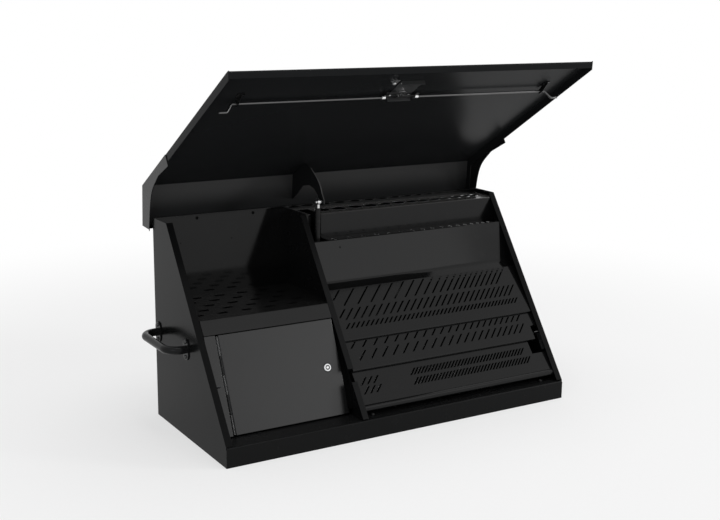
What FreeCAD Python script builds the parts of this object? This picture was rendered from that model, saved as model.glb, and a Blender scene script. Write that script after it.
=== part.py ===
import FreeCAD, Part
import math
import os
from types import SimpleNamespace

import Sketcher
from FreeCAD import Placement, Rotation, Vector

# Triangle top toolbox: a steel cabinet with a sloped front, a hinged lid that stands open on a gas strut,
# a perforated bin over a lockable locker on the left, and a stepped tool organiser on the right.
#
# Frame: millimetres, X to the right, Y to the back, Z up, origin on the floor in the middle of the footprint.
# The cabinet's front faces -Y. The lid is drawn closed and then swung open about its hinge, because the
# part rests with its lid open.

# Driving dimensions
SIZES = {
    # Cabinet
    "width": 1054, "depth": 442.4, "height": 546.6, "top_depth": 92.1, "lip": 50.7, "sheet": 2,
    "flange": 18, "sill_depth": 66, "light_sheet": 1.5, "gap": 0.02,
    # Divider, bin and locker
    "divider": -122, "divider_flange": 14.5, "shelf_height": 322, "shelf_lip_end": 316.5,
    "door_back": 277.3, "door_top": 287.3, "door_tilt": 66.3, "door_height": 255, "door_left": -470.3,
    "door_right": -143, "door_pan": 16, "door_hinge": -474.5, "door_hinge_depth": 2.5, "hinge_gap": 8.4, "door_lock": -182.3,
    "door_lock_down": 127,
    # Organiser: distances from the cabinet's back, heights from the floor
    "step1_height": 534, "step1_front": 100, "step2_height": 467, "step2_front": 147.5,
    "step2_foot": 188, "step2_foot_height": 358, "step2_end": 218, "step2_end_height": 331.6,
    "rack1_top": 214, "rack1_top_height": 345, "rack1_nose": 313, "rack1_nose_height": 229,
    "rack2_top": 299, "rack2_top_height": 233, "rack2_nose": 360, "rack2_nose_height": 160,
    "rack3_top": 350.5, "rack3_top_height": 156.7, "rack3_crease": 413.4, "rack3_crease_height": 82,
    "rack3_front": 421.7, "rack3_nose_height": 79.8, "rack3_roll_height": 66, "nose_return": 6.5, "slot_width": 4.2,
    # Lid, drawn closed
    "lid_half": 532, "lid_top": 552.1, "lid_behind": 10.1, "lid_bend": 99.9, "lid_length": 640,
    "lid_tilt": 54.906, "lid_edge": 20, "lid_open": 86.4, "cheek_seam": 195,
    # Lid hinge
    "hinge_behind": 14.5, "hinge_height": 508.5, "knuckle": 4.5, "pin": 2.5, "pin_fit": 0.05,
    # Handles
    "handle_out": 48, "handle_height": 240, "handle_bar": 10.5, "handle_rear": 22, "handle_front": 208,
    "handle_bend": 35, "foot_plate": 3,
    # Gas strut
    "strut_across": -96, "strut_low_back": 112, "strut_low_height": 130, "strut_top_back": 56.8,
    "strut_top_height": 378.2, "tube": 7.5, "rod": 4, "eye": 8,
    # Latch, measured down the lid from its bend and in from its outer face
    "rod_along": 491, "rod_depth": 11, "rod_tip_depth": 32, "rod_tip": 506.5, "rod_travel": 12.7,
    "latch_rod": 3, "spindle_along": 500, "key_across": -55, "key_along": 562,
}

doc = FreeCAD.newDocument("TriangleTopToolbox")
sheet = doc.addObject("Spreadsheet::Sheet", "Sizes")
for row, (name, value) in enumerate(SIZES.items(), start=1):
    sheet.set(f"A{row}", name)
    sheet.set(f"B{row}", str(value))
    sheet.setAlias(f"B{row}", name)
doc.recompute()


class Size:
    """A number, kept together with the formula that ties it to the sheet."""

    def __init__(self, number, formula):
        self.number = number
        self.formula = formula

    def __add__(self, other):
        other = as_size(other)
        return Size(self.number + other.number, f"({self.formula} + {other.formula})")

    def __sub__(self, other):
        other = as_size(other)
        return Size(self.number - other.number, f"({self.formula} - {other.formula})")

    def __mul__(self, other):
        other = as_size(other)
        return Size(self.number * other.number, f"({self.formula} * {other.formula})")

    def __truediv__(self, other):
        other = as_size(other)
        return Size(self.number / other.number, f"({self.formula} / {other.formula})")

    def __neg__(self):
        return Size(-self.number, f"(0 - {self.formula})")

    def __radd__(self, other):
        return as_size(other) + self

    def __rsub__(self, other):
        return as_size(other) - self

    def __rmul__(self, other):
        return as_size(other) * self


def as_size(value):
    return value if isinstance(value, Size) else Size(value, f"({value:.8g})")


def number(value):
    return value.number if isinstance(value, Size) else float(value)


def root(value):
    return Size(math.sqrt(value.number), f"sqrt({value.formula})")


dims = SimpleNamespace(**{name: Size(float(sheet.get(name)), f"Sizes.{name}") for name in SIZES})

subparts = []


def bind(item, path, value):
    """Tie one property of an object to the sheet."""
    if isinstance(value, Size):
        item.setExpression(path, value.formula)


def keep(item, label, placement=None):
    """Name an object as one of the toolbox's pieces."""
    item.Label = label
    if placement is not None:
        item.Placement = placement
    subparts.append(item)
    return item


def new_body(label, placement=None):
    return keep(doc.addObject("PartDesign::Body", label), label, placement)


# Sketches and features

def new_sketch(body, plane, offset=0.0):
    """A sketch on one of the body's own planes, moved out along that plane's normal."""
    sketch = body.newObject("Sketcher::SketchObject", body.Name + "_sketch")
    support = next(item for item in body.Origin.OriginFeatures if item.Role == plane)
    sketch.AttachmentSupport = [(support, "")]
    sketch.MapMode = "FlatFace"
    sketch.AttachmentOffset = Placement(Vector(0, 0, number(offset)), Rotation())
    bind(sketch, "AttachmentOffset.Base.z", offset)
    return sketch


def tilted_sketch(body, y, z, angle):
    """A sketch whose X runs along the cabinet's width and whose plane rises to the back at the angle."""
    sketch = new_sketch(body, "XY_Plane")
    sketch.AttachmentOffset = Placement(Vector(0, number(y), number(z)), Rotation(Vector(1, 0, 0), angle))
    bind(sketch, "AttachmentOffset.Base.y", y)
    bind(sketch, "AttachmentOffset.Base.z", z)
    return sketch


def pinned(geometry, position, corner):
    """The two constraints that hold a point at its place."""
    across, up = corner
    return [(Sketcher.Constraint("DistanceX", -1, 1, geometry, position, number(across)), across),
            (Sketcher.Constraint("DistanceY", -1, 1, geometry, position, number(up)), up)]


def constrain(sketch, tied):
    """Add constraints to a sketch and tie each one's value to the sheet."""
    first = sketch.ConstraintCount
    sketch.addConstraint([constraint for constraint, value in tied])
    for index, (constraint, value) in enumerate(tied, start=first):
        bind(sketch, f"Constraints[{index}]", value)


def ring(sketch, points):
    """Join points into a closed ring of lines; returns the first line's number and the joints."""
    first = sketch.GeometryCount
    count = len(points)
    sketch.addGeometry([Part.LineSegment(points[i], points[(i + 1) % count]) for i in range(count)])
    joints = [(Sketcher.Constraint("Coincident", first + i, 2, first + (i + 1) % count, 1), None)
              for i in range(count)]
    return first, joints


def polygon(sketch, corners):
    """A closed outline through corners that are tied to the sheet."""
    first, tied = ring(sketch, [Vector(number(x), number(y), 0) for x, y in corners])
    for index, corner in enumerate(corners):
        tied += pinned(first + index, 1, corner)
    constrain(sketch, tied)


def rectangle(sketch, left, right, low, high):
    polygon(sketch, [(left, low), (right, low), (right, high), (left, high)])


def circle(sketch, x, y, radius):
    centre = Vector(number(x), number(y), 0)
    index = sketch.addGeometry(Part.Circle(centre, Vector(0, 0, 1), number(radius)))
    tied = pinned(index, 3, (x, y))
    tied.append((Sketcher.Constraint("Radius", index, number(radius)), radius))
    constrain(sketch, tied)


def stadium(sketch, x, y, length, width):
    """A slot with round ends, lying along the sketch's X."""
    reach = (length - width) / 2
    radius = width / 2
    up = Vector(0, radius, 0)
    left, right = Vector(x - reach, y, 0), Vector(x + reach, y, 0)
    sketch.addGeometry([
        Part.LineSegment(left - up, right - up),
        Part.Arc(right - up, right + Vector(radius, 0, 0), right + up),
        Part.LineSegment(right + up, left + up),
        Part.Arc(left + up, left - Vector(radius, 0, 0), left - up)])


def direction(start, end):
    run = end - start
    return run * (1 / run.Length)


def beside(path, distance):
    """The points of a line that runs beside a path at a distance, to its left."""
    points = []
    for index, point in enumerate(path):
        before = direction(path[max(index - 1, 0)], path[max(index, 1)])
        after = direction(path[min(index, len(path) - 2)], path[min(index + 1, len(path) - 1)])
        left1 = Vector(-before.y, before.x, 0)
        left2 = Vector(-after.y, after.x, 0)
        points.append(point + (left1 + left2) * (distance / (1 + left1.dot(left2))))
    return points


def bent_outline(sketch, path, thickness, side):
    """The cross-section of a bent sheet: the path is one face, the other runs beside it."""
    face = [Vector(number(x), number(y), 0) for x, y in path]
    inner = beside(face, number(thickness) * side)
    count = len(face)
    first, tied = ring(sketch, face + inner[::-1])
    for index, corner in enumerate(path):
        tied += pinned(first + index, 1, corner)
    for index in range(count - 1):
        partner = first + 2 * count - 2 - index
        tied.append((Sketcher.Constraint("Parallel", first + index, partner), None))
        tied.append((Sketcher.Constraint("Distance", partner, 1, first + index, number(thickness)), thickness))
    tied.append((Sketcher.Constraint("Perpendicular", first + count - 1, first + count - 2), None))
    tied.append((Sketcher.Constraint("Perpendicular", first + 2 * count - 1, first), None))
    constrain(sketch, tied)
    return face, inner


def pad(body, sketch, length):
    feature = body.newObject("PartDesign::Pad", body.Name + "_pad")
    feature.Profile = sketch
    feature.Length = number(length)
    bind(feature, "Length", length)
    doc.recompute()
    return feature


def pocket(body, sketch, depth, upward=False):
    """Cut a sketch into a body, against the sketch's normal unless upward."""
    before = body.Shape.Volume
    feature = body.newObject("PartDesign::Pocket", body.Name + "_pocket")
    feature.Profile = sketch
    feature.Reversed = upward
    feature.Length = number(depth)
    bind(feature, "Length", depth)
    doc.recompute()
    if body.Shape.Volume > before - 1e-6:
        raise RuntimeError(f"a pocket of {body.Label} cuts nothing")
    return feature


def rounded_route(sketch, points, radius):
    """A route of straight runs joined by tangent arcs; returns the names of its edges."""
    pieces = []
    start = points[0]
    for corner, following in zip(points[1:-1], points[2:]):
        arriving, leaving = direction(start, corner), direction(corner, following)
        half_angle = arriving.getAngle(leaving) / 2
        cut = radius * math.tan(half_angle)
        first, last = corner - arriving * cut, corner + leaving * cut
        inward = direction(corner, (first + last) * 0.5)
        middle = corner + inward * (radius / math.cos(half_angle) - radius)
        pieces += [Part.LineSegment(start, first), Part.Arc(first, middle, last)]
        start = last
    pieces.append(Part.LineSegment(start, points[-1]))
    sketch.addGeometry(pieces)
    return [f"Edge{index}" for index in range(1, len(pieces) + 1)]


def pipe(body, route, edges, profile):
    """Sweep a round bar's section along its route."""
    doc.recompute()
    feature = body.newObject("PartDesign::AdditivePipe", body.Name + "_pipe")
    feature.Profile = profile
    feature.Spine = (route, edges)
    doc.recompute()


def turned(body, profile):
    """A solid of revolution about the body's Z axis; the profile's points are radius and height."""
    sketch = new_sketch(body, "XZ_Plane")
    polygon(sketch, profile)
    feature = body.newObject("PartDesign::Revolution", body.Name + "_turn")
    feature.Profile = sketch
    feature.ReferenceAxis = (sketch, ["V_Axis"])
    feature.Angle = 360
    doc.recompute()
    return feature


def fillet(body, wanted, radius):
    """Round the edges of a body that the test picks out."""
    tip = body.Tip
    names = [f"Edge{index}" for index, edge in enumerate(tip.Shape.Edges, start=1) if wanted(edge)]
    feature = body.newObject("PartDesign::Fillet", body.Name + "_round")
    feature.Base = (tip, names)
    feature.Radius = number(radius)
    doc.recompute()
    return feature


def along_x(places):
    """A test for edges that run along X through one of the places in the YZ plane."""
    def wanted(edge):
        start, end = edge.Vertexes[0].Point, edge.Vertexes[-1].Point
        straight = abs(start.y - end.y) < 1e-3 and abs(start.z - end.z) < 1e-3 and abs(start.x - end.x) > 1
        return straight and any(math.hypot(start.y - p.x, start.z - p.y) < 1e-2 for p in places)
    return wanted


def bent_sheet(label, path, left, right, side, bends, thickness=None, placement=None):
    """A bent sheet that runs along X, with the listed corners of its path rounded.

    Each bend gives its corner's number in the path and the radius of its inner face.
    """
    thickness = thickness or dims.sheet
    body = new_body(label, placement)
    sketch = new_sketch(body, "YZ_Plane", left)
    face, inner = bent_outline(sketch, path, thickness, side)
    pad(body, sketch, right - left)
    for corner, radius in bends:
        before = direction(face[corner - 1], face[corner])
        after = direction(face[corner], face[corner + 1])
        turn = before.x * after.y - before.y * after.x
        hollow, full = (inner, face) if turn * side > 0 else (face, inner)
        fillet(body, along_x([hollow[corner]]), radius)
        fillet(body, along_x([full[corner]]), radius + number(thickness))
    return body


def bolt(name, placement, head_radius, head_height, shank_radius, length):
    """A round-headed bolt: its shank runs down from the origin, its head stands on it."""
    shank = doc.addObject("Part::Cylinder", name + "_shank")
    shank.Radius = shank_radius
    shank.Height = length
    shank.Placement = Placement(Vector(0, 0, -length), Rotation())
    head = doc.addObject("Part::Cone", name + "_head")
    head.Radius1 = head_radius
    head.Radius2 = head_radius * 0.68
    head.Height = head_height
    whole = doc.addObject("Part::Fuse", name)
    whole.Base = shank
    whole.Tool = head
    whole.Placement = placement
    return whole


def group(label, members, placement=None):
    """Several identical pieces that share one name."""
    item = doc.addObject("Part::Compound", label)
    item.Links = members
    return keep(item, label, placement)


# Places

bolt_spread = 19.5
hinge_screw_height = 470.0
bumper_places = [(-92.0, 410.0), (472.0, 410.0)]
rear = dims.depth / 2
half = dims.width / 2
inside = half - dims.sheet
run = dims.depth - dims.top_depth
rise = dims.height - dims.lip
slope_length = root(run * run + rise * rise)


def back(distance):
    """The Y of a place that lies this far in front of the cabinet's back."""
    return rear - distance


def slope_point(along, below=0.0):
    """A place down the sloped front from its top edge, and in from its plane."""
    y = back(dims.top_depth) - along * (run / slope_length) + below * (rise / slope_length)
    z = dims.height - along * (rise / slope_length) - below * (run / slope_length)
    return y, z


X_AXIS = Vector(1, 0, 0)
hinge_axis = Vector(0, number(rear + dims.hinge_behind), number(dims.hinge_height))
lid_swing = Placement(Vector(0, 0, 0), Rotation(X_AXIS, -number(dims.lid_open)), hinge_axis)
lid_face = lid_swing * Placement(Vector(0, number(back(dims.lid_bend)), number(dims.lid_top)),
                                 Rotation(X_AXIS, number(dims.lid_tilt)))
door_face = Placement(Vector(0, number(back(dims.door_back)), number(dims.door_top)),
                      Rotation(X_AXIS, number(dims.door_tilt)))


# Cabinet shell

def side_panel(label, side):
    """A five-sided panel with inturned flanges along its slope and its foot."""
    body = new_body(label)
    outer = -half if side < 0 else inside
    sketch = new_sketch(body, "YZ_Plane", outer)
    front = dims.sheet - rear
    corner = dims.lip + dims.sheet * (rise / run)
    polygon(sketch, [(rear - dims.sheet, 0.0), (front, 0.0), (front, corner), slope_point(0.0),
                     (rear - dims.sheet, dims.height)])
    pad(body, sketch, dims.sheet)
    start = -inside if side < 0 else inside - (dims.flange - dims.sheet)
    strip_end = 602.0
    sketch = new_sketch(body, "YZ_Plane", start)
    polygon(sketch, [slope_point(0.0), slope_point(0.0, dims.sheet), slope_point(strip_end, dims.sheet),
                     slope_point(strip_end)])
    pad(body, sketch, dims.flange - dims.sheet)
    sketch = new_sketch(body, "YZ_Plane", start)
    rectangle(sketch, back(360.0), rear - dims.sheet - dims.gap, dims.sheet, dims.sheet * 2)
    pad(body, sketch, dims.flange - dims.sheet)
    sketch = new_sketch(body, "YZ_Plane", outer + dims.sheet)
    for y, z in handle_bolt_places():
        circle(sketch, y, z, 3.3)
    pocket(body, sketch, dims.sheet)
    return body


def handle_bolt_places():
    return [(back(distance), dims.handle_height + offset)
            for distance in (dims.handle_rear, dims.handle_front) for offset in (-bolt_spread, bolt_spread)]


def back_panel():
    """The flat back with a narrow hem along its top and two hanging holes over the bin."""
    body = new_body("back_panel")
    sketch = new_sketch(body, "XZ_Plane", -rear)
    rectangle(sketch, -half, half, 0.0, dims.height)
    pad(body, sketch, dims.sheet)
    sketch = new_sketch(body, "XZ_Plane", dims.sheet - rear)
    rectangle(sketch, dims.gap - inside, inside - dims.gap, dims.height - dims.sheet, dims.height)
    pad(body, sketch, 10.0)
    sketch = new_sketch(body, "XZ_Plane", dims.sheet - rear)
    for x in (-401.8, -234.8):
        circle(sketch, x, 534.5, 4.5)
    for x in hinge_screw_places():
        circle(sketch, x, hinge_screw_height, 1.7)
    pocket(body, sketch, dims.sheet)
    return body


def hinge_screw_places():
    return [-450.0 + 150.0 * index for index in range(7)]


def floor_pan():
    """The flat floor between the side panels."""
    body = new_body("floor_pan")
    sketch = new_sketch(body, "XY_Plane")
    rectangle(sketch, dims.gap - inside, inside - dims.gap, dims.sheet + dims.gap - rear, rear - dims.sheet)
    pad(body, sketch, dims.sheet)
    return body


def front_sill():
    """The lip at the foot of the slope: a folded channel that closes on the floor behind it."""
    behind = dims.sill_depth - rear
    path = [(-rear, 0.0), (-rear, dims.lip), (behind, dims.lip), (behind, dims.sheet)]
    body = bent_sheet("front_sill", path, dims.gap - inside, inside - dims.gap, -1, [(1, 1.0), (2, 1.0)])
    sketch = new_sketch(body, "YZ_Plane", -half)
    rectangle(sketch, -rear, dims.sheet - rear, 0.0, dims.lip - dims.sheet * 1.5)
    pad(body, sketch, dims.width)
    sketch = new_sketch(body, "XY_Plane", dims.lip + 1.0)
    for x, distance in bumper_places:
        circle(sketch, x, back(distance), 2.1)
    pocket(body, sketch, dims.sheet + 2.0)
    return body


def divider_panel():
    """The wall between bin and organiser, flanged to the left along the slope."""
    body = new_body("divider_panel")
    top, foot = 12.0, 603.0
    notch_top, notch_foot, notch_depth = 464.0, 500.0, 28.0
    behind = dims.sill_depth - rear + dims.gap
    above = dims.lip + dims.gap
    left = dims.divider - dims.sheet
    sketch = new_sketch(body, "YZ_Plane", left)
    polygon(sketch, [(rear - dims.sheet - dims.gap, dims.sheet), (behind, dims.sheet), (behind, above),
                     (slope_point(foot)[0], above), slope_point(foot), slope_point(top),
                     (rear - dims.sheet - dims.gap, slope_point(top)[1])])
    pad(body, sketch, dims.sheet)
    for start, end in ((top, notch_top), (notch_foot, foot)):
        sketch = new_sketch(body, "YZ_Plane", left - dims.divider_flange)
        polygon(sketch, [slope_point(start), slope_point(start, dims.sheet), slope_point(end, dims.sheet),
                         slope_point(end)])
        pad(body, sketch, dims.divider_flange + dims.gap)
    sketch = new_sketch(body, "YZ_Plane", left + dims.sheet + 1.0)
    polygon(sketch, [slope_point(notch_top, -1.0), slope_point(notch_top, notch_depth),
                     slope_point(notch_foot, notch_depth), slope_point(notch_foot, -1.0)])
    pocket(body, sketch, dims.sheet + 2.0)
    return body


# Bin and locker

def bin_shelf():
    """The perforated shelf over the locker, with a lip folded down along the slope."""
    front = 274.9
    start = (rear - dims.sheet - dims.gap, dims.shelf_height)
    lip_end = slope_point(dims.shelf_lip_end)
    path = [start, (slope_point(front)[0], dims.shelf_height), lip_end, (lip_end[0] + 9.0, lip_end[1])]
    left = dims.flange - half + 1.5
    right = dims.divider - dims.sheet - dims.divider_flange - 1.0
    body = bent_sheet("bin_shelf", path, left, right, 1, [(1, 1.0)])
    wall_left = dims.gap - inside
    wall_right = dims.divider - dims.sheet - dims.gap
    sketch = new_sketch(body, "XY_Plane", dims.shelf_height - dims.sheet)
    rectangle(sketch, wall_left, wall_right, back(243.0), rear - dims.sheet - dims.gap)
    pad(body, sketch, dims.sheet)
    sketch = new_sketch(body, "XY_Plane", dims.shelf_height + 1.0)
    slot_length, slot_height, pitch, row_pitch = 30.0, 14.0, 68.0, 42.0
    for row in range(5):
        shift = pitch / 2 * (row % 2)
        for column in range(5):
            x = number(wall_left) + 34.0 + shift + column * pitch
            stadium(sketch, x, number(rear) - 36.0 - row * row_pitch, slot_length, slot_height)
    pocket(body, sketch, dims.sheet + 2.0)
    return body


def locker_stile():
    """The fixed strip left of the door, stepped back behind the side panel's flange."""
    body = new_body("locker_stile", door_face)
    step = dims.flange - half + 0.6
    edge = dims.door_hinge - dims.hinge_gap / 2
    sketch = new_sketch(body, "XZ_Plane", 0.0)
    path = [(dims.gap - inside, -14.0), (step, -14.0), (step, 0.0), (edge, 0.0), (edge, -dims.door_pan)]
    bent_outline(sketch, path, dims.light_sheet, -1)
    pad(body, sketch, dims.door_height)
    return body


def locker_stop():
    """The angle on the divider that the door's cam turns behind."""
    body = new_body("locker_stop", door_face)
    wall = dims.divider - dims.sheet - dims.gap
    sketch = new_sketch(body, "XZ_Plane", 12.0)
    path = [(wall, -34.0), (wall, -15.0), (wall - 16.0, -15.0)]
    bent_outline(sketch, path, dims.light_sheet, 1)
    pad(body, sketch, dims.door_height - 24.0)
    return body


def locker_door():
    """A pressed pan with returned edges."""
    body = new_body("locker_door", door_face)
    sketch = new_sketch(body, "XY_Plane", -dims.door_pan)
    rectangle(sketch, dims.door_left, dims.door_right, -dims.door_height, 0.0)
    pad(body, sketch, dims.door_pan)

    def front_edge(edge):
        points = [vertex.Point for vertex in edge.Vertexes]
        return all(abs(point.z) < 1e-3 for point in points)

    fillet(body, front_edge, 1.8)
    wall = dims.light_sheet
    sketch = new_sketch(body, "XY_Plane", -dims.door_pan)
    rectangle(sketch, dims.door_left + wall, dims.door_right - wall, wall - dims.door_height, -wall)
    pocket(body, sketch, dims.door_pan - wall, upward=True)
    sketch = new_sketch(body, "XY_Plane", 1.0)
    circle(sketch, dims.door_lock, -dims.door_lock_down, 9.6)
    pocket(body, sketch, 4.0)
    return body


def door_hinge():
    """Two leaves and a pin in the gap between the stile and the door."""
    barrel, bore, wire = 2.8, 1.55, 1.5
    leaf, web, joint = 1.3, 0.75, 0.3
    axis, depth = dims.door_hinge, dims.door_hinge_depth
    knuckles, length = 5, number(dims.door_height) - 6.0
    pitch = length / knuckles
    leaves = (("locker_frame_hinge_leaf", -1, 0), ("locker_door_hinge_leaf", 1, 1))
    for label, side, first in leaves:
        body = new_body(label, door_face)
        edge = axis + side * (dims.hinge_gap / 2 - dims.gap)
        sketch = new_sketch(body, "XZ_Plane", 3.0)
        polygon(sketch, [(edge, -dims.door_pan), (edge, web - depth), (axis, web - depth), (axis, -depth - web),
                         (edge - side * leaf, -depth - web), (edge - side * leaf, -dims.door_pan)])
        pad(body, sketch, length)
        sketch = new_sketch(body, "XZ_Plane", 3.0)
        circle(sketch, axis, -depth, barrel)
        pad(body, sketch, length)
        sketch = new_sketch(body, "XZ_Plane", 2.0)
        circle(sketch, axis, -depth, bore)
        pocket(body, sketch, length + 4.0, upward=True)
        sketch = new_sketch(body, "XY_Plane", 2.0)
        for index in range(first, knuckles, 2):
            top = -3.0 - index * pitch + (joint if index else 1.0)
            low = -3.0 - (index + 1) * pitch - (joint if index < knuckles - 1 else 1.0)
            rectangle(sketch, axis - barrel - joint, axis + barrel + joint, low, top)
        pocket(body, sketch, 12.0)
    body = new_body("locker_hinge_pin", door_face)
    sketch = new_sketch(body, "XZ_Plane", 2.5)
    circle(sketch, axis, -depth, wire)
    pad(body, sketch, length + 1.0)


def cam_lock(prefix, placement, x, y, face, reach):
    """A round key lock: a fixed shell with its nut, and a plug that carries a flat cam behind it."""
    at = placement * Placement(Vector(number(x), number(y), 0), Rotation())
    shell = new_body(prefix + "_shell", at)
    turned(shell, [(5.6, 1.6), (9.6, 1.6), (11.0, 0.2), (11.0, 0.0), (9.4, 0.0), (9.4, -face + 1.0),
                   (5.6, -face + 1.0)])
    plug = new_body(prefix + "_plug", at)
    turned(plug, [(0.0, 1.2), (5.55, 1.2), (5.55, -face + 0.7), (4.0, -face + 0.7), (4.0, -face - 3.5),
                  (0.0, -face - 3.5)])
    sketch = new_sketch(plug, "XY_Plane", 2.0)
    rectangle(sketch, -0.7, 0.7, -3.2, 3.2)
    pocket(plug, sketch, 3.0)
    cam = new_body(prefix + "_cam", at)
    sketch = new_sketch(cam, "XY_Plane", -face - 2.8)
    width = 6.0
    sketch.addGeometry([
        Part.LineSegment(Vector(-width, 0, 0), Vector(-width, -reach, 0)),
        Part.LineSegment(Vector(-width, -reach, 0), Vector(width, -reach, 0)),
        Part.LineSegment(Vector(width, -reach, 0), Vector(width, 0, 0)),
        Part.Arc(Vector(width, 0, 0), Vector(0, width, 0), Vector(-width, 0, 0))])
    pad(cam, sketch, 2.3)
    sketch = new_sketch(cam, "XY_Plane", 0.0)
    circle(sketch, 0.0, 0.0, 4.0)
    pocket(cam, sketch, face + 4.0)


# Organiser

def slanted_slots(sketch, first, last, top, drop, pitch, shrink=0.0, least=12.0):
    """A row of slots from X first to last, each running down to the left at 45 degrees.

    The pitch gets smaller by shrink from slot to slot, down to the least. Near the plate's left edge a slot is
    shorter.
    """
    width = number(dims.slot_width) * math.sqrt(2)
    edge = number(organiser_left) + 8.0
    x = first
    while x <= last:
        fall = min(drop, x - edge)
        corners = [Vector(x, top, 0), Vector(x + width, top, 0), Vector(x + width - fall, top - fall, 0),
                   Vector(x - fall, top - fall, 0)]
        sketch.addGeometry([Part.LineSegment(corners[i], corners[(i + 1) % 4]) for i in range(4)])
        x += pitch
        pitch = max(pitch - shrink, least)


organiser_left = dims.divider + dims.gap
organiser_right = inside - dims.gap
strut_notch = (-108.0, -75.0)
flange_edge = half - dims.flange - 0.6


def graded_places(first, pitch, count):
    """Hole places from left to right, each gap 2 mm smaller than the last; gives X and the gap after it."""
    places = []
    for index in range(count):
        places.append((first, pitch))
        first += pitch
        pitch -= 2.0
    return places


def upper_hole_shelf():
    """The top step: a shelf with a row of large and a row of small holes, and its riser."""
    path = [(rear - dims.sheet - dims.gap, dims.step1_height), (back(dims.step1_front), dims.step1_height),
            (back(dims.step1_front), dims.step2_height + dims.gap)]
    body = bent_sheet("upper_hole_shelf", path, organiser_left, organiser_right, 1, [(1, 1.0)])
    sketch = new_sketch(body, "XY_Plane", dims.step1_height + 1.0)
    rectangle(sketch, strut_notch[0], strut_notch[1], back(103.0), back(20.0))
    pocket(body, sketch, 80.0)
    sketch = new_sketch(body, "XY_Plane", dims.step1_height + 1.0)
    rectangle(sketch, flange_edge, half, back(103.0), back(94.0))
    pocket(body, sketch, 15.0)
    sketch = new_sketch(body, "XY_Plane", dims.step1_height + 1.0)
    for x, pitch in graded_places(-43.0, 55.0, 13):
        circle(sketch, x, back(50.0), pitch * 0.41)
    for index in range(17):
        circle(sketch, -38.0 + 33.0 * index, back(86.0), 4.5)
    pocket(body, sketch, dims.sheet + 2.0)
    return body


def lower_hole_shelf():
    """The second step: a narrow shelf with a row of holes over a tall riser that curves into a trough."""
    path = [(back(88.0), dims.step2_height), (back(dims.step2_front), dims.step2_height),
            (back(dims.step2_foot), dims.step2_foot_height), (back(dims.step2_end), dims.step2_end_height)]
    body = bent_sheet("lower_hole_shelf", path, organiser_left, organiser_right, 1, [(1, 1.0), (2, 24.0)])
    sketch = new_sketch(body, "XY_Plane", dims.step2_height + 1.0)
    rectangle(sketch, strut_notch[0], strut_notch[1], back(145.2), back(87.0))
    pocket(body, sketch, dims.sheet + 2.0)
    sketch = new_sketch(body, "XY_Plane", dims.step2_height + 1.0)
    rectangle(sketch, flange_edge, half, back(150.0), back(140.0))
    pocket(body, sketch, 12.0)
    sketch = new_sketch(body, "XY_Plane", dims.step2_height + 1.0)
    for x, pitch in graded_places(-53.0, 48.0, 17):
        circle(sketch, x, back(136.0), 3.0 + pitch * 0.075)
    pocket(body, sketch, dims.sheet + 2.0)
    screw_hole = (-45.7, 446.6)
    sketch = new_sketch(body, "XZ_Plane", -back(172.0))
    circle(sketch, screw_hole[0], screw_hole[1], 2.0)
    pocket(body, sketch, 30.0)
    return body


def slotted_rack(label, top, nose, rows, tail=(), bends=()):
    """A sloping plate with rows of slanted slots, its nose folded under or rolled.

    Top and nose are distances from the back and heights; each row of slots starts at a height up the plate.
    """
    top_y, top_z = back(top[0]), top[1]
    nose_y, nose_z = back(nose[0]), nose[1]
    fall = math.atan2(number(top_z - nose_z), number(top_y - nose_y))
    path = [(top_y, top_z), (nose_y, nose_z)]
    if tail:
        path += list(tail)
    else:
        under = number(dims.nose_return)
        path.append((nose_y + under * math.sin(fall), nose_z - under * math.cos(fall)))
    body = bent_sheet(label, path, organiser_left, organiser_right, 1, bends)
    for row in rows:
        sketch = tilted_sketch(body, nose_y - dims.sheet * math.sin(fall), nose_z + dims.sheet * math.cos(fall),
                               math.degrees(fall))
        slanted_slots(sketch, **row)
        pocket(body, sketch, dims.sheet * 2 + 0.6)
    return body


def organiser_racks():
    slotted_rack("upper_slot_rack", (dims.rack1_top, dims.rack1_top_height),
                 (dims.rack1_nose, dims.rack1_nose_height),
                 [{"first": -86.0, "last": 480.0, "top": 150.0, "drop": 48.0, "pitch": 46.0, "shrink": 2.2,
                   "least": 19.0},
                  {"first": -90.0, "last": 488.0, "top": 92.0, "drop": 32.0, "pitch": 24.5, "shrink": 0.3,
                   "least": 17.0},
                  {"first": -90.0, "last": 488.0, "top": 50.0, "drop": 16.0, "pitch": 15.5, "shrink": 0.1}],
                 bends=[(1, 1.2)])
    rack = slotted_rack("middle_slot_rack", (dims.rack2_top, dims.rack2_top_height),
                 (dims.rack2_nose, dims.rack2_nose_height),
                 [{"first": -90.0, "last": 475.0, "top": 81.0, "drop": 18.0, "pitch": 36.0, "shrink": 1.0,
                   "least": 20.0},
                  {"first": -68.0, "last": 480.0, "top": 53.0, "drop": 27.0, "pitch": 36.0, "shrink": 1.0,
                   "least": 20.0}],
                 bends=[(1, 1.2)])
    corner_notch(rack, 490.0, back(368.0), back(332.0), dims.rack2_top_height)
    front = back(dims.rack3_front)
    rack = slotted_rack("lower_slot_rack", (dims.rack3_top, dims.rack3_top_height),
                        (dims.rack3_crease, dims.rack3_crease_height),
                        [{"first": -90.0, "last": -50.0, "top": 75.0, "drop": 20.0, "pitch": 19.0},
                         {"first": -90.0, "last": -50.0, "top": 49.0, "drop": 20.0, "pitch": 19.0},
                         {"first": 66.0, "last": 440.0, "top": 77.0, "drop": 19.0, "pitch": 11.0, "least": 11.0},
                         {"first": 66.0, "last": 451.0, "top": 49.0, "drop": 19.0, "pitch": 11.0, "least": 11.0}],
                        tail=[(front, dims.rack3_nose_height), (front, dims.rack3_roll_height),
                              (front + 11.0, dims.rack3_roll_height - 4.0)],
                        bends=[(2, 6.0), (3, 4.5)])
    corner_notch(rack, 466.0, back(378.0), back(345.0), dims.rack3_top_height)


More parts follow.
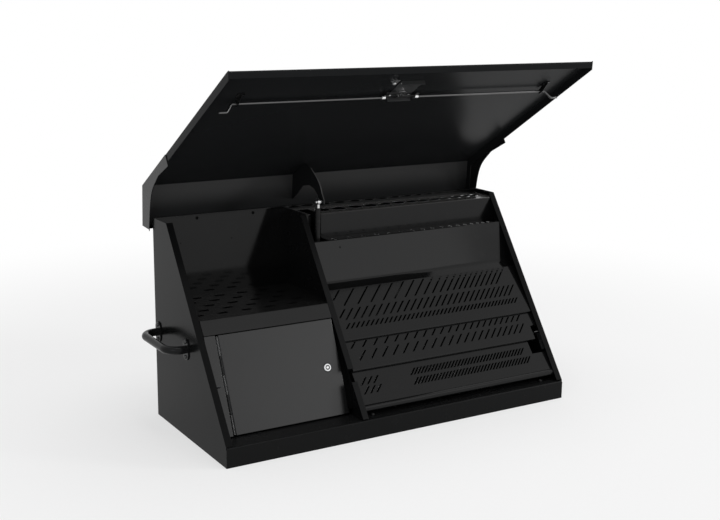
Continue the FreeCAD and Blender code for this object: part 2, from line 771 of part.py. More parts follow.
def corner_notch(rack, left, front, behind, top):
    """Cut away a rack's right-hand corner, to clear the side panel's catch."""
    above, depth = 4.0, 90.0
    sketch = new_sketch(rack, "XY_Plane", top + above)
    rectangle(sketch, left, half, front, behind)
    pocket(rack, sketch, depth)


# Catches, handles and small hardware

def rod_catch(label, side):
    """A folded bracket inside the side panel; the latch rod's tip turns in under its tongue."""
    body = new_body(label)
    wall = inside - dims.gap
    inward = wall - 14.0
    tongue_top, tongue_low = 16.5, 18.5
    left = -wall if side < 0 else inward
    near, far = 474.0, 500.0
    sketch = new_sketch(body, "YZ_Plane", left)
    polygon(sketch, [slope_point(near, tongue_top), slope_point(near, tongue_low),
                     slope_point(far, tongue_low), slope_point(far, tongue_top)])
    pad(body, sketch, 14.0)
    sketch = new_sketch(body, "YZ_Plane", -wall if side < 0 else wall - dims.sheet)
    polygon(sketch, [slope_point(448.0, 3.0), slope_point(448.0, 34.0), slope_point(far, 34.0),
                     slope_point(far, 3.0)])
    pad(body, sketch, dims.sheet)
    sketch = new_sketch(body, "YZ_Plane", -wall if side < 0 else wall - 30.0)
    polygon(sketch, [slope_point(448.0, 3.0), slope_point(448.0, 20.0), slope_point(450.0, 20.0),
                     slope_point(450.0, 3.0)])
    pad(body, sketch, 30.0)
    return body


def carrying_handle(prefix, side):
    """A bent round bar on two oval foot plates, bolted to the side panel."""
    start = number(half + dims.foot_plate) * side
    out = number(half + dims.handle_out) * side
    rear_y, front_y = number(back(dims.handle_rear)), number(back(dims.handle_front))
    body = new_body(prefix + "_handle_bar")
    route = new_sketch(body, "XY_Plane", dims.handle_height)
    edges = rounded_route(route, [Vector(start, rear_y, 0), Vector(out, rear_y, 0), Vector(out, front_y, 0),
                                  Vector(start, front_y, 0)], number(dims.handle_bend))
    profile = new_sketch(body, "YZ_Plane", (half + dims.foot_plate) * side)
    circle(profile, back(dims.handle_rear), dims.handle_height, dims.handle_bar)
    pipe(body, route, edges, profile)
    for name, distance in (("rear", dims.handle_rear), ("front", dims.handle_front)):
        handle_foot(f"{prefix}_handle_{name}_foot", side, distance)
    turn = Rotation(Vector(0, 1, 0), 90 * side)
    bolts = [bolt(f"{prefix}_handle_bolt{index}",
                  Placement(Vector(start, number(y), number(z)), turn), 5.6, 3.4, 3.0, 11.0)
             for index, (y, z) in enumerate(handle_bolt_places())]
    group(f"{prefix}_handle_bolts", bolts)


def handle_foot(label, side, distance):
    """An upright oval plate with a bolt hole above and below the bar."""
    foot = new_body(label)
    face = half if side > 0 else -half - dims.foot_plate
    y, height = number(back(distance)), number(dims.handle_height)
    radius = 16.5
    reach = 28.0 - radius
    rear_edge, front_edge = y + radius, y - radius
    sketch = new_sketch(foot, "YZ_Plane", face)
    sketch.addGeometry([
        Part.LineSegment(Vector(rear_edge, height - reach, 0), Vector(rear_edge, height + reach, 0)),
        Part.Arc(Vector(rear_edge, height + reach, 0), Vector(y, height + reach + radius, 0),
                 Vector(front_edge, height + reach, 0)),
        Part.LineSegment(Vector(front_edge, height + reach, 0), Vector(front_edge, height - reach, 0)),
        Part.Arc(Vector(front_edge, height - reach, 0), Vector(y, height - reach - radius, 0),
                 Vector(rear_edge, height - reach, 0))])
    pad(foot, sketch, dims.foot_plate)
    sketch = new_sketch(foot, "YZ_Plane", face + dims.foot_plate)
    for offset in (-bolt_spread, bolt_spread):
        circle(sketch, back(distance), dims.handle_height + offset, 3.3)
    pocket(foot, sketch, dims.foot_plate)


def sill_bumpers():
    """Two small domed stops on the sill that the closed lid comes down over."""
    seat = number(dims.lip + dims.gap)
    members = [bolt(f"sill_bumper{index}", Placement(Vector(x, number(back(distance)), seat), Rotation()),
                    5.0, 3.6, 2.0, 3.5)
               for index, (x, distance) in enumerate(bumper_places)]
    group("sill_bumpers", members)


# Lid, drawn closed

def lid_point(along, depth):
    """A place down the closed lid's slope from its bend, and in from its outer face."""
    tilt = math.radians(number(dims.lid_tilt))
    y = number(back(dims.lid_bend)) - along * math.cos(tilt) + depth * math.sin(tilt)
    z = number(dims.lid_top) - along * math.sin(tilt) - depth * math.cos(tilt)
    return y, z


def lid_panel():
    """One sheet bent over the top and down the slope, with folded sides and a return along its front."""
    behind = rear + dims.lid_behind
    nose = lid_point(number(dims.lid_length), 0.0)
    path = [(behind, dims.hinge_height + 5.5), (behind, dims.lid_top), (back(dims.lid_bend), dims.lid_top),
            nose, (nose[0] + number(dims.lid_edge), nose[1])]
    body = bent_sheet("lid_panel", path, -dims.lid_half, dims.lid_half, 1, [(1, 1.5), (2, 1.5), (3, 1.5)],
                      placement=lid_swing)
    edge = number(dims.lid_edge)
    end = number(dims.lid_length)
    top = number(dims.lid_top)
    bend_y = number(back(dims.lid_bend))
    half_turn = math.radians(number(dims.lid_tilt)) / 2
    inner_bend = (bend_y + edge * math.tan(half_turn), top - edge)
    corners = [(number(behind) - 1.0, top - edge), (number(behind) - 1.0, top - 1.0), (bend_y, top - 1.0),
               lid_point(end - 1.0, 1.0), lid_point(end - 14.0, edge), inner_bend]
    for start in (-dims.lid_half, dims.lid_half - dims.sheet):
        sketch = new_sketch(body, "YZ_Plane", start)
        polygon(sketch, corners)
        pad(body, sketch, dims.sheet)
    for x, y, radius in ((0.0, -dims.spindle_along, 5.2), (dims.key_across, -dims.key_along, 9.6)):
        sketch = new_sketch(body, "XY_Plane")
        at = lid_swing.inverse() * lid_face
        sketch.AttachmentOffset = at * Placement(Vector(0, 0, 1), Rotation())
        circle(sketch, x, y, radius)
        pocket(body, sketch, 5.0)
    return body


def lid_cheek(label, side):
    """The plate that closes the lid's rear corner and hides the hinge's end."""
    body = new_body(label, lid_swing)
    start = dims.lid_half if side > 0 else -dims.lid_half - dims.sheet
    top = number(dims.lid_top)
    behind = number(rear + dims.lid_behind)
    bend_y = number(back(dims.lid_bend))
    outer = lid_point(number(dims.cheek_seam), 0.0)
    lower = [(14.0, 508.5 - 4.0), (-56.0, 497.0), (-102.0, 481.0), (-128.0, 459.0), (-148.0, 439.0)]
    curve = [Vector(number(rear) + y, z, 0) for y, z in lower]
    inner = lid_point(number(dims.cheek_seam), 32.0)
    sketch = new_sketch(body, "YZ_Plane", start)
    spline = Part.BSplineCurve()
    spline.interpolate(curve)
    ends = [Vector(*inner, 0), Vector(*outer, 0), Vector(bend_y, top, 0), Vector(behind, top, 0),
            Vector(behind, curve[0].y, 0)]
    sketch.addGeometry([spline, Part.LineSegment(curve[-1], ends[0])]
                       + [Part.LineSegment(ends[i], ends[i + 1]) for i in range(4)]
                       + [Part.LineSegment(ends[4], curve[0])])
    pad(body, sketch, dims.sheet)
    return body


def strut_gusset():
    """The plate under the lid that carries the strut's upper pin on its hooked arm."""
    body = new_body("strut_gusset", lid_swing)
    under = number(dims.lid_top - dims.sheet)
    outline = [(-27.0, under), (-97.0, under), (-143.9, 485.2), (-137.0, 447.0), (-121.0, 419.0),
               (-108.0, 400.6), (-95.0, 388.6), (-79.0, 380.0), (-63.0, 367.5), (-52.0, 366.5),
               (-45.5, 376.0), (-49.0, 388.0), (-70.0, 401.0), (-84.0, 424.0), (-88.0, 452.0),
               (-78.0, 490.0), (-50.0, 520.0)]
    left, plate, foot = -84.0, 3.0, 22.0
    sketch = new_sketch(body, "YZ_Plane", left)
    polygon(sketch, [(rear + y, z) for y, z in outline])
    pad(body, sketch, plate)
    sketch = new_sketch(body, "YZ_Plane", left)
    rectangle(sketch, rear - 85.0, rear - 30.0, under - 2.5, under)
    pad(body, sketch, foot)
    sketch = new_sketch(body, "YZ_Plane", left + plate)
    circle(sketch, back(dims.strut_top_back), dims.strut_top_height, 4.02)
    pocket(body, sketch, plate)
    return body


def strut_points():
    """The strut's ends with the lid open, and the turn that lays a body's Z axis along it."""
    closed = Vector(number(dims.strut_across), number(back(dims.strut_top_back)),
                    number(dims.strut_top_height))
    top = lid_swing.multVec(closed)
    low = Vector(number(dims.strut_across), number(back(dims.strut_low_back)),
                 number(dims.strut_low_height))
    lean = math.degrees(math.atan2(low.y - top.y, top.z - low.z))
    return top, low, Rotation(X_AXIS, lean)


def gas_strut():
    """Tube, rod and both eyes, lying along the line between the pins."""
    top, low, turn = strut_points()
    length = (top - low).Length
    frame = Placement(top, turn)
    tube = new_body("strut_tube", frame)
    turned(tube, [(0.0, -17.0), (6.0, -17.0), (dims.tube, -19.0), (dims.tube, -236.0), (6.6, -240.0),
                  (4.15, -240.0), (4.15, -22.0), (0.0, -22.0)])
    shank = new_body("strut_upper_eye", frame)
    strut_eye(shank, -1.0, 3.2)
    rod = new_body("strut_rod", frame)
    turned(rod, [(0.0, -30.0 - 180.0), (dims.rod, -30.0 - 180.0), (dims.rod, 9.0 - length),
                 (0.0, 9.0 - length)])
    eye = new_body("strut_lower_eye", Placement(low, turn))
    strut_eye(eye, 1.0, 3.2)


def strut_eye(body, side, thickness):
    """A flat ring round the pin with a short neck towards the strut's middle."""
    sketch = new_sketch(body, "YZ_Plane", -thickness)
    circle(sketch, 0.0, 0.0, dims.eye)
    pad(body, sketch, thickness * 2)
    sketch = new_sketch(body, "YZ_Plane", -thickness)
    low, high = (6.0, 9.0) if side > 0 else (-17.0, -6.0)
    rectangle(sketch, -4.4, 4.4, low, high)
    pad(body, sketch, thickness * 2)
    sketch = new_sketch(body, "YZ_Plane", -thickness - 1.0)
    circle(sketch, 0.0, 0.0, 4.05)
    pocket(body, sketch, thickness * 2 + 2.0, upward=True)


def strut_pins():
    """The upper pin through the gusset, and the lower pin on its bracket on the divider."""
    pin = doc.addObject("Part::Cylinder", "strut_upper_pin")
    pin.Radius = 4.0
    pin.Height = 24.0
    closed = Vector(-104.0, number(back(dims.strut_top_back)), number(dims.strut_top_height))
    keep(pin, "strut_upper_pin", lid_swing * Placement(closed, Rotation(Vector(0, 1, 0), 90)))
    body = new_body("strut_lower_bracket")
    wall = number(dims.divider + dims.gap)
    y, z = number(back(dims.strut_low_back)), number(dims.strut_low_height)
    sketch = new_sketch(body, "YZ_Plane", wall)
    rectangle(sketch, y - 20.0, y + 20.0, z - 28.0, z + 28.0)
    pad(body, sketch, 3.0)
    sketch = new_sketch(body, "YZ_Plane", wall)
    circle(sketch, y, z, 9.0)
    pad(body, sketch, 14.0)
    sketch = new_sketch(body, "YZ_Plane", wall)
    circle(sketch, y, z, 4.0)
    pad(body, sketch, 20.4)


# Continuous hinge

def lid_hinge():
    """Two leaves with barrels cut away in turn, and the pin through both."""
    reach = 512.0
    knuckles = 13
    pitch = 2 * reach / knuckles
    axis_y, axis_z = rear + dims.hinge_behind, dims.hinge_height
    bore = dims.pin + dims.pin_fit
    near = axis_y - dims.knuckle
    leaf = dims.light_sheet
    cabinet_leaf = [(near, axis_z), (near, axis_z - 9.0), (rear + dims.gap, axis_z - 19.0),
                    (rear + dims.gap, axis_z - 54.0)]
    lid_leaf = [(rear + dims.lid_behind + dims.gap, axis_z), (rear + dims.lid_behind + dims.gap, axis_z + 38.0)]
    for label, path, side, first, placement in (("cabinet_hinge_leaf", cabinet_leaf, 1, 0, None),
                                                ("lid_hinge_leaf", lid_leaf, -1, 1, lid_swing)):
        body = new_body(label, placement)
        sketch = new_sketch(body, "YZ_Plane", -reach)
        bent_outline(sketch, path, leaf, side)
        pad(body, sketch, 2 * reach)
        sketch = new_sketch(body, "YZ_Plane", -reach)
        circle(sketch, axis_y, axis_z, dims.knuckle)
        pad(body, sketch, 2 * reach)
        sketch = new_sketch(body, "YZ_Plane", -reach - 1.0)
        circle(sketch, axis_y, axis_z, bore)
        pocket(body, sketch, 2 * reach + 2.0, upward=True)
        sketch = new_sketch(body, "XZ_Plane", -rear - 8.0)
        for index in range(first, knuckles, 2):
            left = -reach + index * pitch - (0.4 if index else 2.0)
            right = -reach + (index + 1) * pitch + (0.4 if index < knuckles - 1 else 2.0)
            rectangle(sketch, left, right, axis_z - 5.3, axis_z + 5.3)
        pocket(body, sketch, 14.0, upward=False)
        if first == 0:
            sketch = new_sketch(body, "XZ_Plane", 1.0 - rear)
            for x in hinge_screw_places():
                circle(sketch, x, hinge_screw_height, 1.7)
            pocket(body, sketch, 4.0)
    body = new_body("lid_hinge_pin")
    sketch = new_sketch(body, "YZ_Plane", -reach - 1.0)
    circle(sketch, axis_y, axis_z, dims.pin)
    pad(body, sketch, 2 * reach + 2.0)
    turn = Rotation(X_AXIS, -90)
    head_seat = number(rear + leaf + dims.gap * 2)
    screws = [bolt(f"hinge_screw{index}", Placement(Vector(x, head_seat, hinge_screw_height), turn),
                   3.4, 1.6, 1.6, 4.2)
              for index, x in enumerate(hinge_screw_places())]
    group("cabinet_hinge_screws", screws)


# Latch, drawn on the closed lid's face: X across, -Y down the slope, -Z inwards

def lid_plate(label, low, high, outline, placement=None):
    """A flat piece on the lid: the outline lies in the lid's face, low and high are measured outwards."""
    body = new_body(label, placement or lid_face)
    sketch = new_sketch(body, "XY_Plane", low)
    polygon(sketch, outline)
    pad(body, sketch, high - low)
    return body


def box_outline(left, right, low, high):
    return [(left, low), (right, low), (right, high), (left, high)]


def latch_bracket():
    """The folded bracket over the rotor: a base on the lid and a wall at each end, its sides open."""
    lid_inner, plate = -number(dims.sheet), 1.5
    left, right, far, near_nose = -33.0, 36.0, -479.0, -562.0
    bracket = lid_plate("latch_bracket", lid_inner - plate, lid_inner,
                        box_outline(left, right, near_nose, far))
    for edge, depth in ((far - plate, 17.0), (near_nose, 13.0)):
        sketch = new_sketch(bracket, "XY_Plane", -depth)
        rectangle(sketch, left, right, edge, edge + plate)
        pad(bracket, sketch, depth + lid_inner)
    sketch = new_sketch(bracket, "XY_Plane", 0.0)
    circle(sketch, 0.0, -dims.spindle_along, 5.2)
    pocket(bracket, sketch, 5.0)


def latch_handle():
    """The turning grip outside the lid, its rose, and the rotor that it drives inside."""
    centre = number(dims.spindle_along)
    lid_inner = -number(dims.sheet)
    spindle, stem = 5.0, 3.9
    rose = new_body("latch_rose", lid_face * Placement(Vector(0, -centre, 0), Rotation()))
    turned(rose, [(5.06, 0.0), (27.0, 0.0), (27.0, 1.4), (24.0, 3.0), (5.06, 3.0)])
    at = lid_face * Placement(Vector(0, -centre, 0), Rotation())
    grip = new_body("latch_grip", at)
    turned(grip, [(0.0, 26.0), (6.0, 25.0), (8.0, 20.0), (7.5, 9.0), (12.0, 5.5), (12.0, 3.4), (spindle, 3.4),
                  (spindle, lid_inner - 0.4), (stem, lid_inner - 0.4), (stem, -11.4), (0.0, -11.4)])
    bar, reach = 6.5, 44.0
    sketch = new_sketch(grip, "YZ_Plane", -reach)
    circle(sketch, 0.0, 19.0, bar)
    pad(grip, sketch, reach * 2)

    def bar_end(edge):
        return all(abs(abs(vertex.Point.x) - reach) < 1e-3 for vertex in edge.Vertexes)

    fillet(grip, bar_end, 2.5)
    rotor = new_body("latch_rotor", at)
    sketch = new_sketch(rotor, "XY_Plane", -7.4)
    circle(sketch, 0.0, 0.0, 12.0)
    pad(rotor, sketch, 3.0)
    throw = number(dims.rod_travel) / 2
    sketch = new_sketch(rotor, "XY_Plane", -11.3)
    for turn in (1, -1):
        circle(sketch, -throw * turn, throw * turn, 1.5)
    pad(rotor, sketch, 3.95)
    sketch = new_sketch(rotor, "XY_Plane", 0.0)
    circle(sketch, 0.0, 0.0, stem)
    pocket(rotor, sketch, 9.0)


def latch_rod(label, side):
    """A long round rod: a slotted yoke on the rotor's pin, and a cranked tip that reaches the catch."""
    centre = number(dims.spindle_along)
    line = -number(dims.rod_along)
    throw = number(dims.rod_travel) / 2
    lane_near, lane_far = 4.6, 13.0
    slot_half, slot_end = 2.0, 10.9
    thick_low, thick_high = -11.0, -8.0
    shank, collar, collar_end = 43.0, 52.0, 28.0
    near, far = -centre + lane_near * side, -centre + lane_far * side
    inner = -(throw + 4.0) * side
    slot = -throw * side
    outer = shank * side
    plate = [(inner, near), (slot - slot_half * side, near),
             (slot - slot_half * side, -centre + slot_end * side),
             (slot + slot_half * side, -centre + slot_end * side), (slot + slot_half * side, near),
             (outer, near)]
    low_end, high_end = line - collar_end / 2, line + collar_end / 2
    if side > 0:
        plate += [(outer, low_end), (collar, low_end), (collar, high_end), (outer, high_end), (outer, far)]
    else:
        plate += [(outer, high_end), (-collar, high_end), (-collar, far)]
    plate.append((inner, far))
    body = lid_plate(label, thick_low, thick_high, plate)
    depth, tip_depth = number(dims.rod_depth), number(dims.rod_tip_depth)
    crank, corner, tip = 470.0, 486.0, number(dims.rod_tip)
    start = (shank + 2.0) * side
    route = new_sketch(body, "XZ_Plane", dims.rod_along)
    edges = rounded_route(route, [Vector(start, -depth, 0), Vector(crank * side, -depth, 0),
                                  Vector(corner * side, -tip_depth, 0), Vector(tip * side, -tip_depth, 0)], 7.0)
    profile = new_sketch(body, "YZ_Plane", start)
    circle(profile, -dims.rod_along, -dims.rod_depth, dims.latch_rod)
    pipe(body, route, edges, profile)


def rod_guide(label, side):
    """An angle on the lid whose upright leg the rod slides through."""
    lid_inner = -number(dims.sheet)
    across = 456.0 * side
    body = lid_plate(label, lid_inner - 2.0, lid_inner,
                     box_outline(across - 9.0, across + 9.0, -530.0, -510.0))
    sketch = new_sketch(body, "YZ_Plane", across - 1.0)
    polygon(sketch, [(-530.0, lid_inner), (-530.0, lid_inner - 6.0), (-500.0, -17.0), (-484.0, -17.0),
                     (-484.0, -7.0), (-508.0, lid_inner)])
    pad(body, sketch, dims.sheet)
    sketch = new_sketch(body, "YZ_Plane", across - 2.0)
    circle(sketch, -dims.rod_along, -dims.rod_depth, dims.latch_rod + 0.08)
    pocket(body, sketch, dims.sheet * 2, upward=True)


doc.recompute()
side_panel("left_side_panel", -1)
side_panel("right_side_panel", 1)
back_panel()
floor_pan()
front_sill()
divider_panel()
bin_shelf()
locker_stile()
locker_stop()
locker_door()
door_hinge()
cam_lock("locker_lock", door_face, dims.door_lock, -dims.door_lock_down, 17.0, 50.0)
upper_hole_shelf()
lower_hole_shelf()
organiser_racks()
rod_catch("left_catch", -1)
rod_catch("right_catch", 1)
carrying_handle("left", -1)
carrying_handle("right", 1)
sill_bumpers()
lid_panel()
lid_cheek("left_lid_cheek", -1)
lid_cheek("right_lid_cheek", 1)
strut_gusset()
gas_strut()
strut_pins()
lid_hinge()
latch_bracket()
latch_handle()
latch_rod("left_latch_rod", -1)
latch_rod("right_latch_rod", 1)
rod_guide("left_rod_guide", -1)
rod_guide("right_rod_guide", 1)
cam_lock("lid_lock", lid_face, dims.key_across, -dims.key_along, 6.5, 16.0)

# Check and write

doc.recompute()
for item in doc.Objects:
    if "Invalid" in item.State or "Error" in item.State:
        raise RuntimeError(f"{item.Label} failed: {item.State}")
os.makedirs("parts", exist_ok=True)
for item in subparts:
    shape = item.Shape
    if shape.isNull() or not shape.isValid() or not shape.Solids:
        raise RuntimeError(f"{item.Label} has no valid shape")
    shape.exportStep(f"parts/{item.Label}.step")
    print(item.Label, len(shape.Solids), round(shape.Volume))
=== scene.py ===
import math

import bmesh
import bpy
from mathutils import Matrix, Vector


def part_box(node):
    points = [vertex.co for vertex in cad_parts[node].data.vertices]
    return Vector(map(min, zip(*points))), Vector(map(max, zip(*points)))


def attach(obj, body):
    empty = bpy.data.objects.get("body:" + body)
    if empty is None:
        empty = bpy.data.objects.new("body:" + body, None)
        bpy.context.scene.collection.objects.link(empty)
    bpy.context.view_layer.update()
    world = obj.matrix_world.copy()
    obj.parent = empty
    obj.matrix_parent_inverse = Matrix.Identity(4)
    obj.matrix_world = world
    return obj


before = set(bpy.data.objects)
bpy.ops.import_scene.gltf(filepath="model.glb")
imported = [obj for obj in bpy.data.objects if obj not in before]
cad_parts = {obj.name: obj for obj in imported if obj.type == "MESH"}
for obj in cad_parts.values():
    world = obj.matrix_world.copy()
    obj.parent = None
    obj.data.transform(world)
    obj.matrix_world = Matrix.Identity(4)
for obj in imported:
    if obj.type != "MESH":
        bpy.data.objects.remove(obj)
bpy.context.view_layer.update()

# Places in the open toolbox, in metres. In the lid's own frame X runs to the right, -Y from the hinge to the free
# edge and -Z from the outer face into the box.
LID = Matrix.Translation((0, 0.27203, 0.625413)) @ Matrix.Rotation(math.radians(-31.494), 4, "X")
LID_SHEET = 0.002
REAR_WALL_FACES = (0.0, -0.8527, 0.5224)
SHELF_REAR = 0.2212


# Finishes

class Value:
    """A socket inside a node tree, so that shader maths reads as plain expressions."""

    def __init__(self, nodes, socket):
        self.nodes = nodes
        self.socket = socket

    def maths(self, operation, first, second):
        return self.nodes.node("ShaderNodeMath", {"operation": operation}, {0: first, 1: second})

    def __add__(self, other):
        return self.maths("ADD", self, other)

    def __radd__(self, other):
        return self.maths("ADD", other, self)

    def __mul__(self, other):
        return self.maths("MULTIPLY", self, other)


class Nodes:
    """A node tree and the few ways its nodes are made."""

    def __init__(self, tree):
        self.tree = tree

    def join(self, socket, value):
        if isinstance(value, Value):
            self.tree.links.new(value.socket, socket)
        else:
            socket.default_value = value

    def node(self, kind, settings=None, inputs=None, output=0):
        made = self.tree.nodes.new(kind)
        for name, value in (settings or {}).items():
            setattr(made, name, value)
        for name, value in (inputs or {}).items():
            self.join(made.inputs[name], value)
        return Value(self, made.outputs[output])

    def seen_directly(self):
        """1 for what the camera sees, also in a mirror or through glass, and 0 for the light on the things."""
        share = self.node("ShaderNodeLightPath", output="Is Camera Ray")
        for ray in ("Is Glossy Ray", "Is Transmission Ray"):
            share = share.maths("MAXIMUM", share, self.node("ShaderNodeLightPath", output=ray))
        return share

    def mix_into(self, end, share, first, second):
        """Make a mix of two shaders the surface of the tree."""
        mixed = self.node("ShaderNodeMixShader", inputs={0: share, 1: first, 2: second})
        self.join(self.tree.nodes[end].inputs["Surface"], mixed)


class Finish(Nodes):
    """A material with its principled shader."""

    def __init__(self, name, **constants):
        self.material = bpy.data.materials.new(name)
        self.material.use_nodes = True
        super().__init__(self.material.node_tree)
        self.shader = self.tree.nodes["Principled BSDF"]
        for socket, value in constants.items():
            self.shader.inputs[socket.replace("_", " ")].default_value = value

    def place(self, stretch=(1, 1, 1)):
        """Where a point lies on the piece at rest."""
        at = self.node("ShaderNodeTexCoord", output="Object")
        if stretch == (1, 1, 1):
            return at
        return self.node("ShaderNodeVectorMath", {"operation": "MULTIPLY"}, {0: at, 1: stretch})

    def facing(self):
        """The direction a face of the piece looks in at rest."""
        return self.node("ShaderNodeTexCoord", output="Normal")

    def upward(self, vector):
        return self.node("ShaderNodeSeparateXYZ", inputs={0: vector}, output=2)

    def noise(self, scale, detail=2.0, stretch=(1, 1, 1)):
        return self.node("ShaderNodeTexNoise", inputs={"Vector": self.place(stretch), "Scale": scale,
                                                       "Detail": detail})

    def step(self, value, low, high, start=0.0, end=1.0):
        """Ease from start to end while the value goes from low to high."""
        return self.node("ShaderNodeMapRange", {"interpolation_type": "SMOOTHSTEP"},
                         {"Value": value, "From Min": low, "From Max": high, "To Min": start, "To Max": end})

    def blend(self, share, first, second):
        return self.node("ShaderNodeMix", {"data_type": "RGBA"}, {0: share, 6: first, 7: second}, output=2)

    def show(self, colour, roughness, height, strength, distance, edge=0.0):
        """Feed the shader: the relief's height is a bump, and edge rounds the sharp edges by that radius."""
        self.join(self.shader.inputs["Base Color"], colour)
        self.join(self.shader.inputs["Roughness"], roughness)
        inputs = {"Strength": strength, "Distance": distance, "Height": height}
        if edge:
            inputs["Normal"] = self.node("ShaderNodeBevel", {"samples": 4}, {"Radius": edge})
        self.join(self.shader.inputs["Normal"], self.node("ShaderNodeBump", inputs=inputs))
        return self.material


def grey(level, warmth=0.0):
    return (level * (1 + warmth), level, level * (1 - warmth), 1.0)


def powder_coat(name, tone=0.0065, gloss=0.26, dust=0.20, edge=0.0009, shine=0.08, top_dust_and_light=0.03, top_dust_and_light_tone=0.05):
    """Black powder coat: orange peel, cloudy gloss, a little dust and rubbed places.

    tone is how light the black is, gloss its roughness and shine its mirror level. dust lies in patches everywhere,
    and top_dust_and_light is a grey film of the top_dust_and_light_tone on faces that look up: partly dust, partly
    painted light that brightens the tops.
    """
    coat = Finish(name, Specular_IOR_Level=shine)
    cloud = coat.noise(5.0, 4.0)
    streak = coat.noise(3.0, 5.0, stretch=(1, 6, 1))
    speck = coat.step(coat.noise(900.0, 1.0), 0.60, 0.72)
    settled = coat.step(coat.noise(38.0, 6.0), 0.52, 0.78) * dust
    shelf = coat.step(coat.upward(coat.facing()), 0.25, 0.95)
    base = coat.blend(cloud, grey(tone * 0.86, -0.03), grey(tone * 1.15, -0.02))
    # Faces that look up take the grey film: some dust, and painted light that makes the tops lighter.
    dusty_and_lit = coat.blend(shelf * top_dust_and_light + settled * 0.05, base, grey(top_dust_and_light_tone, 0.02))
    rubbed = coat.blend(speck * 0.18, dusty_and_lit, grey(tone * 2.4))
    peel = coat.noise(620.0, 2.0)
    wave = coat.noise(160.0, 1.0)
    rough = gloss - 0.05 + cloud * 0.06 + streak * 0.04 + settled * 0.14
    return coat.show(rubbed, rough, peel * 0.65 + wave * 0.35, strength=0.08, distance=0.00025, edge=edge)


def lid_coat():
    """The lid's coat: faint wide waves in the big sheet, and a grey film on the inside of its rear wall, painted
    light that brightens the wall.
    """
    coat = Finish("lid_coat", Specular_IOR_Level=0.032)
    cloud = coat.noise(4.0, 4.0)
    settled = coat.step(coat.noise(30.0, 6.0), 0.50, 0.85)
    towards_wall = coat.node("ShaderNodeVectorMath", {"operation": "DOT_PRODUCT"},
                             {0: coat.facing(), 1: REAR_WALL_FACES}, output="Value")
    wall = coat.step(towards_wall, 0.7, 0.95)
    height = coat.upward(coat.place())
    below_lid = coat.step(height, 0.64, 0.70, 0.85, 0.0)
    above_foot = coat.step(height, 0.545, 0.61, 0.3, 1.0)
    # Painted light: a grey band on the inner face of the rear wall, below the lid and above the wall's foot, makes
    # the wall lighter.
    film = wall * below_lid * above_foot
    base = coat.blend(cloud, grey(0.0118, -0.05), grey(0.0128, -0.04))
    colour = coat.blend(film + settled * 0.01, base, grey(0.10, 0.01))
    peel = coat.noise(620.0, 2.0)
    sheet = coat.noise(2.2, 0.0)
    rough = 0.25 + cloud * 0.02 + settled * 0.006
    return coat.show(colour, rough, peel * 0.002 + sheet, strength=0.2, distance=0.003, edge=0.0009)


def zinc_plate(name, tone=0.60, rough=0.24):
    """Zinc plate: fine drawn lines, cloudy spangle and a few dull spots."""
    plate = Finish(name, Metallic=1.0)
    lines = plate.noise(420.0, 2.0, stretch=(0.15, 1, 1))
    cloud = plate.noise(90.0, 4.0)
    dull = plate.step(plate.noise(260.0, 3.0), 0.58, 0.75)
    colour = plate.blend(cloud, grey(tone * 0.86, 0.01), grey(tone * 1.1, -0.01))
    spotted = plate.blend(dull * 0.35, colour, grey(tone * 0.55, 0.03))
    return plate.show(spotted, rough + cloud * 0.14 + dull * 0.15, lines, strength=0.2, distance=0.0001,
                      edge=0.0003)


def chrome_plate():
    """Polished chrome with hair scratches and finger marks."""
    plate = Finish("chrome_plate", Metallic=1.0)
    marks = plate.noise(120.0, 5.0)
    scratch = plate.step(plate.noise(700.0, 1.0, stretch=(0.1, 1, 1)), 0.66, 0.70)
    colour = plate.blend(marks, grey(0.42, -0.01), grey(0.52, -0.01))
    return plate.show(colour, 0.10 + marks * 0.12 + scratch * 0.18, scratch, strength=0.15, distance=0.00005,
                      edge=0.0003)


def strut_enamel():
    """The gas strut's smooth enamel, a little scuffed round the tube."""
    enamel = Finish("strut_enamel", Specular_IOR_Level=0.12)
    scuff = enamel.step(enamel.noise(70.0, 5.0, stretch=(1, 1, 4)), 0.56, 0.75)
    cloud = enamel.noise(20.0, 2.0)
    colour = enamel.blend(scuff * 0.3, enamel.blend(cloud, grey(0.010), grey(0.016)), grey(0.045))
    return enamel.show(colour, 0.20 + cloud * 0.06 + scuff * 0.2, cloud + scuff * 0.2, strength=0.15,
                       distance=0.0002, edge=0.0004)


def moulded_rubber():
    """Matt moulded rubber with a fine grain and a grey bloom."""
    rubber = Finish("bumper_rubber", Specular_IOR_Level=0.3)
    grain = rubber.noise(1100.0, 3.0)
    bloom = rubber.step(rubber.noise(120.0, 4.0), 0.5, 0.8)
    colour = rubber.blend(bloom * 0.5, grey(0.012), grey(0.035))
    return rubber.show(colour, 0.72 + bloom * 0.15, grain, strength=0.4, distance=0.0002)


def dark_joint_and_socket_shade():
    """Near-black with a fine grime: the dark of a joint between two parts, and painted shade standing for the
    hollow of a bolt's hexagon socket.
    """
    dark = Finish("socket_shadow")
    grime = dark.noise(500.0, 3.0)
    return dark.show(dark.blend(grime, grey(0.004), grey(0.02)), 0.6 + grime * 0.2, grime, strength=0.3,
                     distance=0.0002)


cabinet_coat = powder_coat("cabinet_coat")
# side_panel_coat is a darker copy of the black coat: painted shade on the side panels.
side_coat = powder_coat("side_panel_coat", tone=0.0045, gloss=0.20, shine=0.052, top_dust_and_light=0.01)
tray_coat = powder_coat("organiser_coat", tone=0.0050, gloss=0.10, edge=0.0006, shine=0.21, top_dust_and_light=0.05)
